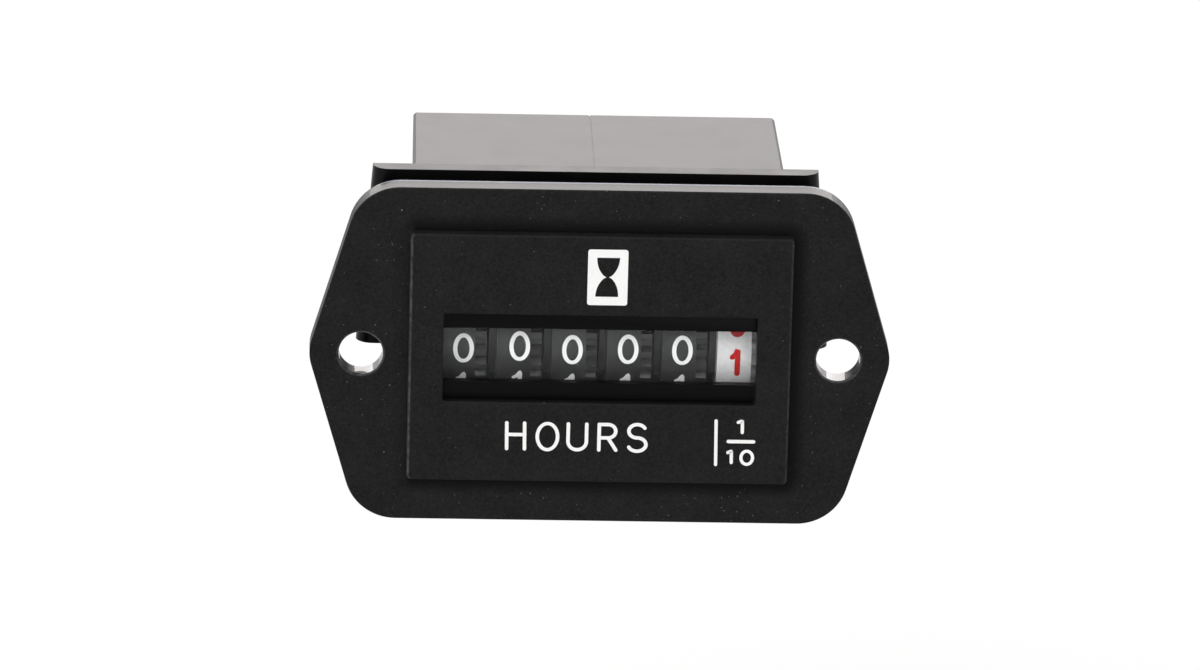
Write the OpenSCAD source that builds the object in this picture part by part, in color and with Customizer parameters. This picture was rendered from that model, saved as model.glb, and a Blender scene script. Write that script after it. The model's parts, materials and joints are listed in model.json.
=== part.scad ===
// Panel hour meter: two-hole flange, sealed case, slide-on retaining clip, and inside
// it a six-wheel counter with carry pinions, driven by a small step motor and train.
// X runs right, Y runs back through the panel and Z runs up, in millimetres. The origin
// is midway between the mounting holes, on the back face of the flange.

/* [Flange] */

// Width across the two tips
flange_w = 61.7; // [58:0.1:68]
// Height between the straight edges
flange_h = 37.1; // [34:0.1:42]
// Thickness of the flange
flange_t = 2.8; // [2.4:0.1:4]
// Lean of the slanted sides away from upright, degrees
side_slope = 16.6; // [12:0.1:20]
// Radius of the four outer corners
corner_r = 5.5; // [3:0.1:8]
// Radius of the two tips
tip_r = 5.0; // [2:0.1:7]
// Distance between the mounting holes
hole_spacing = 50.8; // [49.5:0.1:52]
// Diameter of the mounting holes
hole_d = 4.7; // [3.5:0.1:5]

/* [Face] */

// Width of the raised pad
pad_w = 40.6; // [38:0.1:43]
// Height of the raised pad
pad_h = 27.6; // [20:0.1:30]
// Rise of the pad above the flange
pad_rise = 1.0; // [0.4:0.1:1.5]
// Width of the window
window_w = 33.3; // [30:0.1:34]
// Height of the window at the front
window_h = 9.8; // [8:0.1:12]
// Depth of the window before its sill
window_recess = 1.2; // [0.6:0.1:1.8]
// Height of the slot that shows the wheels
slot_h = 6.0; // [5:0.1:7]
// Thickness of the clear lens
lens_t = 1.4; // [1:0.1:1.8]

/* [Case] */

// Outside width at the front
case_w = 40.2; // [38.5:0.1:42]
// Outside height at the front
case_h = 31.0; // [29.5:0.1:33]
// Depth behind the flange
case_depth = 35.0; // [34.5:0.1:42]
// Wall thickness
case_wall = 1.4; // [1.1:0.1:1.6]
// Draft of the outer walls, degrees
case_draft = 0.5; // [0.2:0.1:0.8]

/* [Clip] */

// Thickness of the clip
clip_t = 2.1; // [1.5:0.1:3]
// Gap between flange and clip, which takes the panel
panel_gap = 1.9; // [1:0.1:6]
// Width of the clip across its top
clip_top_w = 47.4; // [45:0.1:49]
// Width of the clip across the ends of its legs
clip_low_w = 50.4; // [49:0.1:52]
// Height of the top bar over the case
clip_rise = 3.6; // [2:0.1:5]
// Length of the legs below the top of the case
clip_leg = 15.9; // [10:0.1:22]
// How far the outside of the clip sits right of the middle of the case
clip_off = -0.7; // [-1:0.1:1]
// Depth of the groove in the case
groove_d = 0.5; // [0.3:0.05:0.6]

/* [Terminals] */

// Width of a terminal tab
tab_w = 6.3; // [4.8:0.1:6.6]
// Thickness of a terminal tab
tab_t = 0.8; // [0.5:0.1:1]
// Length of a tab behind the case
tab_l = 8.0; // [6:0.1:10]
// Distance between the two tabs
tab_spacing = 16.0; // [12:0.1:20]

/* [Counter] */

// Diameter of a number wheel
wheel_d = 14.8; // [14.4:0.1:15]
// Width of the numbered rim
rim_w = 3.65; // [3.2:0.05:3.7]
// Diameter of the wheel shaft
shaft_d = 2.0; // [1.6:0.1:2.4]
// Diameter of the pinion shaft
pinion_shaft_d = 1.2; // [1:0.1:1.5]
// Place of the pinion shaft round the wheels, degrees above the back
pinion_place = 75; // [70:1:95]
// Angle that the tenths wheel has moved past its nought, degrees
tenths_advance = 24; // [0:1:30]

/* [Motor] */

// Diameter of the rotor magnet
magnet_d = 4.0; // [3:0.1:4.4]
// Thickness of the stator plate
stator_t = 1.0; // [0.6:0.1:1.2]
// Diameter of the winding
winding_d = 5.0; // [4:0.1:5.2]
// Place of the rotor round the middle arbor, degrees below the back
rotor_place = 30; // [25:1:35]

/* [Board] */

// Thickness of the circuit board
board_t = 1.2; // [0.8:0.1:1.6]
// Depth of the circuit board from front to back
board_d = 11.7; // [10:0.1:12]

/* [Hidden] */

$fn = 64;
eps = 0.05;
// How far a cutter runs past what it cuts
over = 1;

// Clearances
running = 0.05;
seat = 0.02;
slip = 0.1;
side_play = 0.03;

// Window and lens, from front to back
pad_front = -flange_t - pad_rise;
sill_y = pad_front + window_recess;
lens_set_back = 0.2;
lens_back = -lens_set_back;
lens_front = lens_back - lens_t;
lens_over_x = 0.95;
lens_over_z = 1.45;
lens_w = window_w + 2 * lens_over_x;
lens_h = slot_h + 2 * lens_over_z;

// Case cavity
in_w = case_w - 2 * case_wall;
in_h = case_h - 2 * case_wall;
in_back = case_depth - case_wall;
case_edge = 0.3;
case_shrink = 2 * case_depth * tan(case_draft);
floor_z = -in_h / 2;
tongue_w = 34;
tongue_l = 2.6;
tongue_t = 1.2;
seam_x = -0.5;
seam_w = 0.2;
seam_d = 0.08;
seam_start = 1.0;

// Clip
clip_y = panel_gap;
clip_bottom = case_h / 2 - clip_leg;
clip_top = case_h / 2 + clip_rise;
clip_in_w = case_w - 2 * groove_d + 2 * slip;
clip_land = 0.3;
clip_round = clip_t - clip_land;
clip_lean = atan((clip_low_w - clip_top_w) / 2 / (clip_top - clip_bottom));

// Counter row: six equal places between the side plates
wheel_count = 6;
plate_gap = 0.2;
plate_t = 0.8;
plate_out = in_w / 2 - plate_gap;
plate_in = plate_out - plate_t;
row_left = -plate_in + side_play;
pitch = 2 * (plate_in - side_play) / wheel_count;
hub_gap = 0.1;
hub_r = 2.2;
disc_x = 0.1;
gear_w = 1.2;
gear_gap = 0.17;
rim_x = pitch - rim_w - gear_w - gear_gap;
rim_wall = 0.9;
web_t = 0.9;
wheel_back = 0.6;
wheel_y = wheel_d / 2 + wheel_back;

// Teeth
pressure_angle = 20;
flank_steps = 3;
thin_big = 0.05;
thin_small = 0.04;
m_counter = 0.6;
m_train = 0.4;
wheel_teeth = 20;
pinion_teeth = 8;
output_teeth = 24;
drive_teeth = 24;
middle_teeth = 24;
wheel_add = 0.3;
wheel_ded = 0.75;
carry_add = 0.6;
carry_ded = 0.45;
output_add = 0.5;
output_ded = 0.5;
train_add = 0.2;
train_ded = 0.5;
leaf_add = 0.4;
leaf_ded = 0.3;
carry_disc_r = 5.2;
carry_tip_r = 6.05;
carry_half_turn = 18;
carry_root = 0.3;

// Axes, each as a place in the Y and Z plane
carry_c = m_counter * (wheel_teeth + pinion_teeth) / 2;
output_c = m_counter * (wheel_teeth + output_teeth) / 2;
middle_c = m_train * (drive_teeth + pinion_teeth) / 2;
rotor_c = m_train * (middle_teeth + pinion_teeth) / 2;
wheel_axis = [wheel_y, 0];
pinion_axis = [wheel_y + carry_c * cos(pinion_place), carry_c * sin(pinion_place)];
output_axis = [wheel_y + output_c, 0];
middle_axis = [output_axis[0], middle_c];
rotor_axis = [middle_axis[0] + rotor_c * cos(rotor_place), middle_c - rotor_c * sin(rotor_place)];
pinion_bore = pinion_shaft_d / 2 + running;
wheel_bore = shaft_d / 2 + running;

// Train stations from the inner plate to the right side plate
inner_x = 6.0;
inner_t = 1.0;
middle_wheel_x = 8.0;
gear_t = 0.8;
leaf_over = 0.2;
motor_x = 10.6;
stator_x = motor_x - stator_t / 2;
drive_wheel_x = 13.2;
bridge_x = 15.2;
bridge_t = 0.8;
output_gear_t = 0.9;
output_gear_gap = 0.35;
output_gear_x = plate_in - output_gear_gap - output_gear_t;
arbor_r = 0.6;
rotor_arbor_r = 0.45;
pivot_r = 0.4;
end_play = 0.1;
pass_gap = 0.3;
pass_hole_r = arbor_r + pass_gap;

// Plates of the movement
move_y0 = 16.5;
move_gap = 0.9;
move_y1 = in_back - move_gap;
move_top = 11.0;
move_low = -7.0;
leg_y1 = 20.5;
base_t = 1.0;
base_y = 3.0;
post_r = 0.9;
bridge_post_a = [29.8, 9.6];
bridge_post_b = [18.5, -5.9];

// Motor
rotor_gap = 0.4;
magnet_t = 1.6;
pole_reach = 4.6;
pole_rise = 3.4;
arm_w = 1.7;
core_drop = 7.6;
core_h = 2.0;
core_z = rotor_axis[1] - core_drop;
bobbin_wall = 0.5;
bobbin_play = 0.05;
bobbin_tube_r = 1.5;
flange_over = 0.2;
bobbin_y0 = rotor_axis[0] - pole_reach + arm_w + slip;
bobbin_y1 = rotor_axis[0] + pole_reach - arm_w - slip;
bobbin_half = winding_d / 2 + flange_over;
stator_pin_r = 0.45;
stator_pin_up = 0.3;
stator_pins = [
    [rotor_axis[0] + pole_reach - arm_w / 2, rotor_axis[1] + pole_rise - arm_w / 2],
    [rotor_axis[0] - pole_reach + arm_w / 2, core_z]
];

// Board and what stands on it
board_gap = 0.3;
board_back = in_back - board_gap;
board_front = board_back - board_d;
rail_w = 2.0;
rail_x = 15.0;
rail_h = 2.0;
board_low = floor_z + base_t + rail_h;
board_top = board_low + board_t;
board_side = 0.4;
board_w = 2 * (plate_in - board_side);
part_gap = 0.5;
chip_size = [5.0, 4.0, 1.5];
crystal_r = 1.0;
crystal_l = 6.0;
crystal_at = [-13.0, 24.0];
cap_r = 2.2;
cap_h = 5.0;
cap_at = [-1.2, 26.0];
rectifier_size = [4.4, 3.6, 2.2];
rectifier_at = [1.6, 30.8];
resistor_r = 1.2;
resistor_l = 6.5;
resistor_at = [-13.0, 28.2];
chip_left = max(crystal_at[0] + crystal_l / 2, resistor_at[0] + resistor_l / 2) + part_gap;
chip_at = [chip_left + chip_size[0] / 2, 26.5];
coil_pin_r = 0.25;

// Terminals
tab_in = 2.4;
tab_tip = 1.2;
tab_hole_r = 0.9;
tab_hole_back = 3.2;

// Helpers for shapes that run along one axis

module rod_x(x0, len, r, at) {
    translate([x0, at[0], at[1]])
        rotate([0, 90, 0])
            cylinder(h = len, r = r);
}

module rod_y(y0, len, r, x, z) {
    translate([x, y0, z])
        rotate([-90, 0, 0])
            cylinder(h = len, r = r);
}

module along_x(x0, len, at) {
    translate([x0, at[0], at[1]])
        rotate([90, 0, 90])
            linear_extrude(height = len)
                children();
}

module along_y(y0, len) {
    translate([0, y0 + len, 0])
        rotate([90, 0, 0])
            linear_extrude(height = len)
                children();
}

module block(from, to) {
    translate(from)
        cube(to - from);
}

// Involute teeth, with each flank thinned for backlash

function polar(r, a) = [r * cos(a), r * sin(a)];

function involute(a) = tan(a) * 180 / PI - a;

function tooth_half(teeth, m, thin, r) =
    let (pitch_r = teeth * m / 2)
    let (base_r = pitch_r * cos(pressure_angle))
    let (turn = acos(min(1, base_r / max(r, base_r))))
    90 / teeth + involute(pressure_angle) - involute(turn) - thin / pitch_r * 180 / PI;

function flank_radii(teeth, m, add) =
    let (pitch_r = teeth * m / 2)
    let (base_r = pitch_r * cos(pressure_angle))
    [for (i = [0 : flank_steps]) base_r + (pitch_r + add - base_r) * i / flank_steps];

function tooth_points(teeth, m, add, ded, thin, at) =
    let (radii = flank_radii(teeth, m, add))
    let (root_r = teeth * m / 2 - ded)
    let (foot = tooth_half(teeth, m, thin, radii[0]))
    concat(
        [polar(root_r, at - foot)],
        [for (i = [0 : flank_steps]) polar(radii[i], at - tooth_half(teeth, m, thin, radii[i]))],
        [for (i = [flank_steps : -1 : 0]) polar(radii[i], at + tooth_half(teeth, m, thin, radii[i]))],
        [polar(root_r, at + foot)]
    );

function gear_points(teeth, m, add, ded, thin, first) =
    [for (i = [0 : teeth - 1]) each tooth_points(teeth, m, add, ded, thin, first + i * 360 / teeth)];

// Every second tooth of the carry pinion is cut down to its root
function carry_points(first) =
    [for (i = [0 : 2 : pinion_teeth - 1])
        each tooth_points(pinion_teeth, m_counter, carry_add, carry_ded, thin_big,
            first + i * 360 / pinion_teeth)];

// Front piece

function unit(v) = v / norm(v);

// Centre of the arc of radius r that rounds the corner b between a and c
function arc_centre(a, b, c, r) =
    let (u = unit(a - b))
    let (v = unit(c - b))
    let (half = acos(u * v) / 2)
    b + unit(u + v) * r / sin(half);

function arc_ends(a, b, c, r) =
    let (u = unit(a - b))
    let (v = unit(c - b))
    let (half = acos(u * v) / 2)
    [b + u * r / tan(half), b + v * r / tan(half)];

tip_x = flange_w / 2 + tip_r * (1 / cos(side_slope) - 1);
shoulder_x = tip_x - flange_h / 2 * tan(side_slope);
outline = [
    [tip_x, 0], [shoulder_x, flange_h / 2], [-shoulder_x, flange_h / 2],
    [-tip_x, 0], [-shoulder_x, -flange_h / 2], [shoulder_x, -flange_h / 2]
];
outline_r = [tip_r, corner_r, corner_r, tip_r, corner_r, corner_r];

module flange_plate() {
    count = len(outline);
    before = [for (i = [0 : count - 1]) outline[(i + count - 1) % count]];
    after = [for (i = [0 : count - 1]) outline[(i + 1) % count]];
    along_y(-flange_t, flange_t)
        polygon([for (i = [0 : count - 1]) each arc_ends(before[i], outline[i], after[i], outline_r[i])]);
    for (i = [0 : count - 1]) {
        centre = arc_centre(before[i], outline[i], after[i], outline_r[i]);
        rod_y(-flange_t, flange_t, outline_r[i], centre[0], centre[1]);
    }
}

module front_bezel() {
    color("#232325")
    difference() {
        union() {
            flange_plate();
            block([-pad_w / 2, pad_front, -pad_h / 2], [pad_w / 2, -flange_t + eps, pad_h / 2]);
            for (side = [-1, 1])
                translate([-tongue_w / 2, -eps, side * (in_h / 2 - running - tongue_t / 2) - tongue_t / 2])
                    cube([tongue_w, tongue_l + eps, tongue_t]);
        }
        block([-window_w / 2, pad_front - over, -window_h / 2], [window_w / 2, sill_y, window_h / 2]);
        block([-window_w / 2, sill_y - eps, -slot_h / 2], [window_w / 2, over, slot_h / 2]);
        block([-lens_w / 2 - running, lens_front, -lens_h / 2 - running],
            [lens_w / 2 + running, over, lens_h / 2 + running]);
        for (side = [-1, 1])
            rod_y(-flange_t - over, flange_t + 2 * over, hole_d / 2, side * hole_spacing / 2, 0);
    }
}

module lens() {
    color("#dfe8ea")
    block([-lens_w / 2, lens_front, -lens_h / 2], [lens_w / 2, lens_back, lens_h / 2]);
}

// Case and clip

module case_shell() {
    half_w = case_w / 2;
    half_h = case_h / 2;
    rotate([-90, 0, 0])
        linear_extrude(height = case_depth, slices = 1,
            scale = [(case_w - case_shrink) / case_w, (case_h - case_shrink) / case_h])
            polygon([
                [half_w, half_h - case_edge], [half_w - case_edge, half_h],
                [case_edge - half_w, half_h], [-half_w, half_h - case_edge],
                [-half_w, case_edge - half_h], [case_edge - half_w, -half_h],
                [half_w - case_edge, -half_h], [half_w, case_edge - half_h]
            ]);
}

module case() {
    groove_y0 = clip_y - slip;
    groove_y1 = clip_y + clip_t + slip;
    color("#2b2b2d")
    difference() {
        case_shell();
        block([-in_w / 2, -over, -in_h / 2], [in_w / 2, in_back, in_h / 2]);
        block([-case_w, groove_y0, case_h / 2 - groove_d], [case_w, groove_y1, case_h]);
        for (side = [-1, 1])
            translate([side * (case_w - groove_d) - case_w / 2, groove_y0, clip_bottom - slip])
                cube([case_w, groove_y1 - groove_y0, case_h]);
        translate([seam_x, 0, case_h / 2])
            rotate([-case_draft, 0, 0])
                block([-seam_w / 2, groove_y1 + seam_start, -seam_d],
                    [seam_w / 2, case_depth + over, over]);
        for (side = [-1, 1])
            translate([side * tab_spacing / 2 - tab_w / 2 - running, in_back - over, board_top - running])
                cube([tab_w + 2 * running, case_wall + 2 * over, tab_t + 2 * running]);
    }
}

module clip_corner(side) {
    translate([clip_off + side * clip_top_w / 2, clip_y, clip_top])
        rotate([0, -side * clip_lean, 0])
            difference() {
                translate([-clip_round, -over, -2 * case_h])
                    cube([2 * clip_round, clip_round + over, 3 * case_h]);
                translate([-side * clip_round, clip_round, -3 * case_h])
                    cylinder(h = 5 * case_h, r = clip_round);
            }
}

module mounting_clip() {
    in_half = clip_in_w / 2;
    bar_low = case_h / 2 - groove_d + slip;
    color("#1f1f21")
    difference() {
        along_y(clip_y, clip_t)
            polygon([
                [clip_off - clip_top_w / 2, clip_top], [clip_off + clip_top_w / 2, clip_top],
                [clip_off + clip_low_w / 2, clip_bottom], [in_half, clip_bottom], [in_half, bar_low],
                [-in_half, bar_low], [-in_half, clip_bottom], [clip_off - clip_low_w / 2, clip_bottom]
            ]);
        for (side = [-1, 1])
            clip_corner(side);
    }
}

module terminal(x) {
    y0 = in_back - tab_in;
    y1 = case_depth + tab_l;
    color("#c9a24a")
    difference() {
        translate([x, 0, board_top])
            linear_extrude(height = tab_t)
                polygon([
                    [-tab_w / 2, y0], [tab_w / 2, y0], [tab_w / 2, y1 - tab_tip],
                    [tab_w / 2 - tab_tip, y1], [tab_tip - tab_w / 2, y1], [-tab_w / 2, y1 - tab_tip]
                ]);
        translate([x, y1 - tab_hole_back, board_top - over])
            cylinder(h = tab_t + 2 * over, r = tab_hole_r);
    }
}

module terminal_left() {
    terminal(-tab_spacing / 2);
}

module terminal_right() {
    terminal(tab_spacing / 2);
}

// Frame of the movement

module side_plate(x0) {
    block([x0, 0, floor_z], [x0 + plate_t, in_back, move_top]);
}

module counter_frame() {
    color("#3a3c40")
    difference() {
        union() {
            side_plate(-plate_out);
            side_plate(plate_in);
            block([-plate_out, base_y, floor_z], [plate_out, in_back, floor_z + base_t]);
            for (side = [-1, 1])
                block([side * rail_x - rail_w / 2, board_front, floor_z],
                    [side * rail_x + rail_w / 2, in_back, board_low]);
            block([inner_x, move_y0, move_low], [inner_x + inner_t, move_y1, move_top]);
            block([inner_x, move_y0, floor_z], [inner_x + inner_t, leg_y1, move_low + eps]);
            for (post = [bridge_post_a, bridge_post_b])
                rod_x(inner_x, bridge_x - inner_x, post_r, post);
            for (pin = stator_pins) {
                rod_x(inner_x, stator_x - inner_x, post_r, pin);
                rod_x(inner_x, stator_x + stator_t + stator_pin_up - inner_x, stator_pin_r, pin);
            }
        }
        for (x0 = [-plate_out, plate_in]) {
            rod_x(x0 - over, plate_t + 2 * over, shaft_d / 2 + seat, wheel_axis);
            rod_x(x0 - over, plate_t + 2 * over, pinion_shaft_d / 2 + seat, pinion_axis);
        }
        rod_x(plate_in - over, plate_t + 2 * over, pivot_r + running, output_axis);
        for (axis = [output_axis, middle_axis, rotor_axis])
            rod_x(inner_x - over, inner_t + 2 * over, pivot_r + running, axis);
    }
}

module train_bridge() {
    color("#6d7076")
    difference() {
        block([bridge_x, move_y0, move_low], [bridge_x + bridge_t, move_y1, move_top]);
        rod_x(bridge_x - over, bridge_t + 2 * over, pass_hole_r, output_axis);
        for (axis = [middle_axis, rotor_axis])
            rod_x(bridge_x - over, bridge_t + 2 * over, pivot_r + running, axis);
    }
}

module wheel_shaft() {
    color("#b9bcc0")
    rod_x(-plate_out, 2 * plate_out, shaft_d / 2, wheel_axis);
}

module pinion_shaft() {
    color("#b9bcc0")
    rod_x(-plate_out, 2 * plate_out, pinion_shaft_d / 2, pinion_axis);
}

// Number wheels, counted from the tenths wheel at the right

// How far wheel k has gone past its last carry, and what its pinion turned meanwhile
function past_carry(k) = carry_half_turn + (k == 0 ? tenths_advance : 0);
function pinion_turn(k) = past_carry(k) / 4;

// Left end of the place of wheel k
function place_x(k) = row_left + (wheel_count - 1 - k) * pitch;

// A tooth of the tenths wheel faces the output gear, those of the others fit their pinions
function wheel_tooth(k) = k == 0 ? 0
    : pinion_place + 180 / wheel_teeth - pinion_turn(k - 1) * pinion_teeth / wheel_teeth;

module carry_teeth(at) {
    base_points = [for (side = [-1, 1])
        tooth_points(wheel_teeth, m_counter, carry_tip_r - wheel_teeth * m_counter / 2,
            wheel_ded + carry_root, thin_big, at + side * 180 / wheel_teeth)];
    for (points = base_points)
        polygon(points);
}

module number_wheel(k) {
    x0 = place_x(k);
    rim_r = wheel_d / 2;
    difference() {
        union() {
            rod_x(x0 + rim_x, rim_w, rim_r, wheel_axis);
            rod_x(x0 + disc_x, rim_x + eps, carry_disc_r, wheel_axis);
            along_x(x0 + disc_x, rim_x - disc_x + eps, wheel_axis)
                carry_teeth(pinion_place - past_carry(k));
            along_x(x0 + rim_x + rim_w - eps, gear_w + eps, wheel_axis)
                polygon(gear_points(wheel_teeth, m_counter, wheel_add, wheel_ded, thin_big,
                    wheel_tooth(k)));
            rod_x(x0, pitch - hub_gap, hub_r, wheel_axis);
        }
        difference() {
            rod_x(x0 + rim_x + web_t, rim_w - 2 * web_t, rim_r - rim_wall, wheel_axis);
            rod_x(x0, pitch, hub_r, wheel_axis);
        }
        rod_x(x0 - over, pitch + 2 * over, wheel_bore, wheel_axis);
    }
}

module wheel_tenths() {
    color("#e9e9e6")
    number_wheel(0);
}

module wheel_units() {
    color("#3b3b3e")
    number_wheel(1);
}

module wheel_tens() {
    color("#3b3b3e")
    number_wheel(2);
}

module wheel_hundreds() {
    color("#3b3b3e")
    number_wheel(3);
}

module wheel_thousands() {
    color("#3b3b3e")
    number_wheel(4);
}

module wheel_ten_thousands() {
    color("#3b3b3e")
    number_wheel(5);
}

// Carry pinion k stands between wheel k and the next higher wheel
module carry_pinion(k) {
    x0 = place_x(k + 1) + rim_x + rim_w + slip;
    long = pitch - rim_w - 2 * slip;
    first = pinion_place + 180 + 180 / 4 + pinion_turn(k);
    color("#d8d4c4")
    difference() {
        union() {
            along_x(x0, gear_w, pinion_axis)
                polygon(gear_points(pinion_teeth, m_counter, carry_add, carry_ded, thin_big, first));
            along_x(x0, long, pinion_axis)
                polygon(carry_points(first));
        }
        rod_x(x0 - over, long + 2 * over, pinion_bore, pinion_axis);
    }
}

module carry_pinion_1() {
    carry_pinion(0);
}

module carry_pinion_2() {
    carry_pinion(1);
}

module carry_pinion_3() {
    carry_pinion(2);
}

module carry_pinion_4() {
    carry_pinion(3);
}

module carry_pinion_5() {
    carry_pinion(4);
}

// Train from the motor to the tenths wheel

module train_leaf(x0, len, axis, first) {
    along_x(x0, len, axis)
        polygon(gear_points(pinion_teeth, m_train, leaf_add, leaf_ded, thin_small, first));
}

module train_wheel(x0, teeth, axis, first) {
    along_x(x0, gear_t, axis)
        polygon(gear_points(teeth, m_train, train_add, train_ded, thin_small, first));
}

module arbor(x0, x1, r, left_end, right_end, axis) {
    rod_x(x0, x1 - x0, r, axis);
    rod_x(left_end, right_end - left_end, pivot_r, axis);
}

module output_arbor() {
    color("#e4dfc9")
    union() {
        arbor(inner_x + inner_t + end_play, plate_in - end_play, arbor_r, inner_x, plate_out, output_axis);
        along_x(output_gear_x, output_gear_t, output_axis)
            polygon(gear_points(output_teeth, m_counter, output_add, output_ded, thin_big,
                180 + 180 / output_teeth));
        train_wheel(drive_wheel_x, drive_teeth, output_axis, 90);
    }
}

module middle_arbor() {
    color("#e4dfc9")
    union() {
        arbor(inner_x + inner_t + end_play, bridge_x - end_play, arbor_r, inner_x,
            bridge_x + bridge_t, middle_axis);
        train_leaf(drive_wheel_x - leaf_over, gear_t + 2 * leaf_over, middle_axis,
            270 + 180 / pinion_teeth);
        train_wheel(middle_wheel_x, middle_teeth, middle_axis, -rotor_place);
    }
}

module rotor_arbor() {
    color("#e4dfc9")
    union() {
        arbor(inner_x + inner_t + end_play, bridge_x - end_play, rotor_arbor_r, inner_x,
            bridge_x + bridge_t, rotor_axis);
        train_leaf(middle_wheel_x - leaf_over, gear_t + 2 * leaf_over, rotor_axis,
            180 - rotor_place + 180 / pinion_teeth);
    }
}

module rotor_magnet() {
    x0 = stator_x + stator_t / 2 - magnet_t / 2;
    color("#4a4a50")
    difference() {
        rod_x(x0, magnet_t, magnet_d / 2, rotor_axis);
        rod_x(x0 - over, magnet_t + 2 * over, rotor_arbor_r, rotor_axis);
    }
}

// Motor

module stator() {
    color("#8d8f94")
    difference() {
        block([stator_x, rotor_axis[0] - pole_reach, core_z - core_h / 2],
            [stator_x + stator_t, rotor_axis[0] + pole_reach, rotor_axis[1] + pole_rise]);
        block([stator_x - over, rotor_axis[0] - pole_reach + arm_w, core_z + core_h / 2],
            [stator_x + stator_t + over, rotor_axis[0] + pole_reach - arm_w, rotor_axis[1] - pole_rise]);
        rod_x(stator_x - over, stator_t + 2 * over, magnet_d / 2 + rotor_gap, rotor_axis);
        for (pin = stator_pins)
            rod_x(stator_x - over, stator_t + 2 * over, stator_pin_r + seat, pin);
    }
}

module core_hole() {
    mid_x = stator_x + stator_t / 2;
    block([mid_x - stator_t / 2 - bobbin_play, bobbin_y0 - over, core_z - core_h / 2 - bobbin_play],
        [mid_x + stator_t / 2 + bobbin_play, bobbin_y1 + over, core_z + core_h / 2 + bobbin_play]);
}

module coil_bobbin() {
    mid_x = stator_x + stator_t / 2;
    color("#d9d6cc")
    difference() {
        union() {
            rod_y(bobbin_y0, bobbin_y1 - bobbin_y0, bobbin_tube_r, mid_x, core_z);
            for (y0 = [bobbin_y0, bobbin_y1 - bobbin_wall])
                block([mid_x - winding_d / 2, y0, core_z - bobbin_half],
                    [mid_x + winding_d / 2, y0 + bobbin_wall, core_z + bobbin_half]);
        }
        core_hole();
    }
}

module coil_winding() {
    mid_x = stator_x + stator_t / 2;
    y0 = bobbin_y0 + bobbin_wall;
    len = bobbin_y1 - bobbin_y0 - 2 * bobbin_wall;
    color("#b5622a")
    difference() {
        rod_y(y0, len, winding_d / 2, mid_x, core_z);
        rod_y(y0 - over, len + 2 * over, bobbin_tube_r, mid_x, core_z);
    }
}

module coil_pins() {
    mid_x = stator_x + stator_t / 2;
    color("#c8ccd0")
    for (y = [bobbin_y0 + bobbin_wall / 2, bobbin_y1 - bobbin_wall / 2])
        translate([mid_x, y, board_top])
            cylinder(h = core_z - bobbin_half - board_top, r = coil_pin_r);
}

// Board

module circuit_board() {
    color("#2f6b3c")
    block([-board_w / 2, board_front, board_low], [board_w / 2, board_back, board_top]);
}

module on_board(size, at) {
    translate([at[0] - size[0] / 2, at[1] - size[1] / 2, board_top])
        cube(size);
}

module driver_chip() {
    color("#1c1c1e")
    on_board(chip_size, chip_at);
}

module quartz_crystal() {
    color("#c2c6ca")
    rod_x(crystal_at[0] - crystal_l / 2, crystal_l, crystal_r, [crystal_at[1], board_top + crystal_r]);
}

module smoothing_capacitor() {
    color("#33405c")
    translate([cap_at[0], cap_at[1], board_top])
        cylinder(h = cap_h, r = cap_r);
}

module bridge_rectifier() {
    color("#1c1c1e")
    on_board(rectifier_size, rectifier_at);
}

module dropping_resistor() {
    color("#c7b48c")
    rod_x(resistor_at[0] - resistor_l / 2, resistor_l, resistor_r, [resistor_at[1], board_top + resistor_r]);
}

front_bezel();
lens();
case();
mounting_clip();
terminal_left();
terminal_right();
counter_frame();
train_bridge();
wheel_shaft();
pinion_shaft();
wheel_tenths();
wheel_units();
wheel_tens();
wheel_hundreds();
wheel_thousands();
wheel_ten_thousands();
carry_pinion_1();
carry_pinion_2();
carry_pinion_3();
carry_pinion_4();
carry_pinion_5();
output_arbor();
middle_arbor();
rotor_arbor();
rotor_magnet();
stator();
coil_bobbin();
coil_winding();
coil_pins();
circuit_board();
driver_chip();
quartz_crystal();
smoothing_capacitor();
bridge_rectifier();
dropping_resistor();
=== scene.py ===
# Looks of a panel hour meter: moulded front, printed face, number wheels, clear lens, soft light.
import json
import math

import bmesh
import bpy
import numpy as np
from mathutils import Matrix, Vector
from mathutils.geometry import delaunay_2d_cdt


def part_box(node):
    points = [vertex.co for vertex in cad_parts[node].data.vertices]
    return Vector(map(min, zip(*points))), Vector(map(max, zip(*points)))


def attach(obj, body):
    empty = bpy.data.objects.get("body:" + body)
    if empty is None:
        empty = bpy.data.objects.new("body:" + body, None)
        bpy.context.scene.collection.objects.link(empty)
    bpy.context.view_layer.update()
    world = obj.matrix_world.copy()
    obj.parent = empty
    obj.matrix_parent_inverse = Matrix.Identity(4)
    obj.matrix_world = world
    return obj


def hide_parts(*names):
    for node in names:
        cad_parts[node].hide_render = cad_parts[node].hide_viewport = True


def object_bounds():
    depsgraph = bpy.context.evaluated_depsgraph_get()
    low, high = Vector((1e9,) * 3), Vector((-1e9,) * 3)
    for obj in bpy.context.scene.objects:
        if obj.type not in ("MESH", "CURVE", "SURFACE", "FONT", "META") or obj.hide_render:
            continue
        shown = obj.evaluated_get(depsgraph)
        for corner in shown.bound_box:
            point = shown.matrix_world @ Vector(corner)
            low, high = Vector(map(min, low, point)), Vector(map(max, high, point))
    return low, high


mm = 0.001
weldDistance = 0.0005 * mm
thinDistance = 0.1 * weldDistance
fillTolerance = 1e-6
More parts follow.
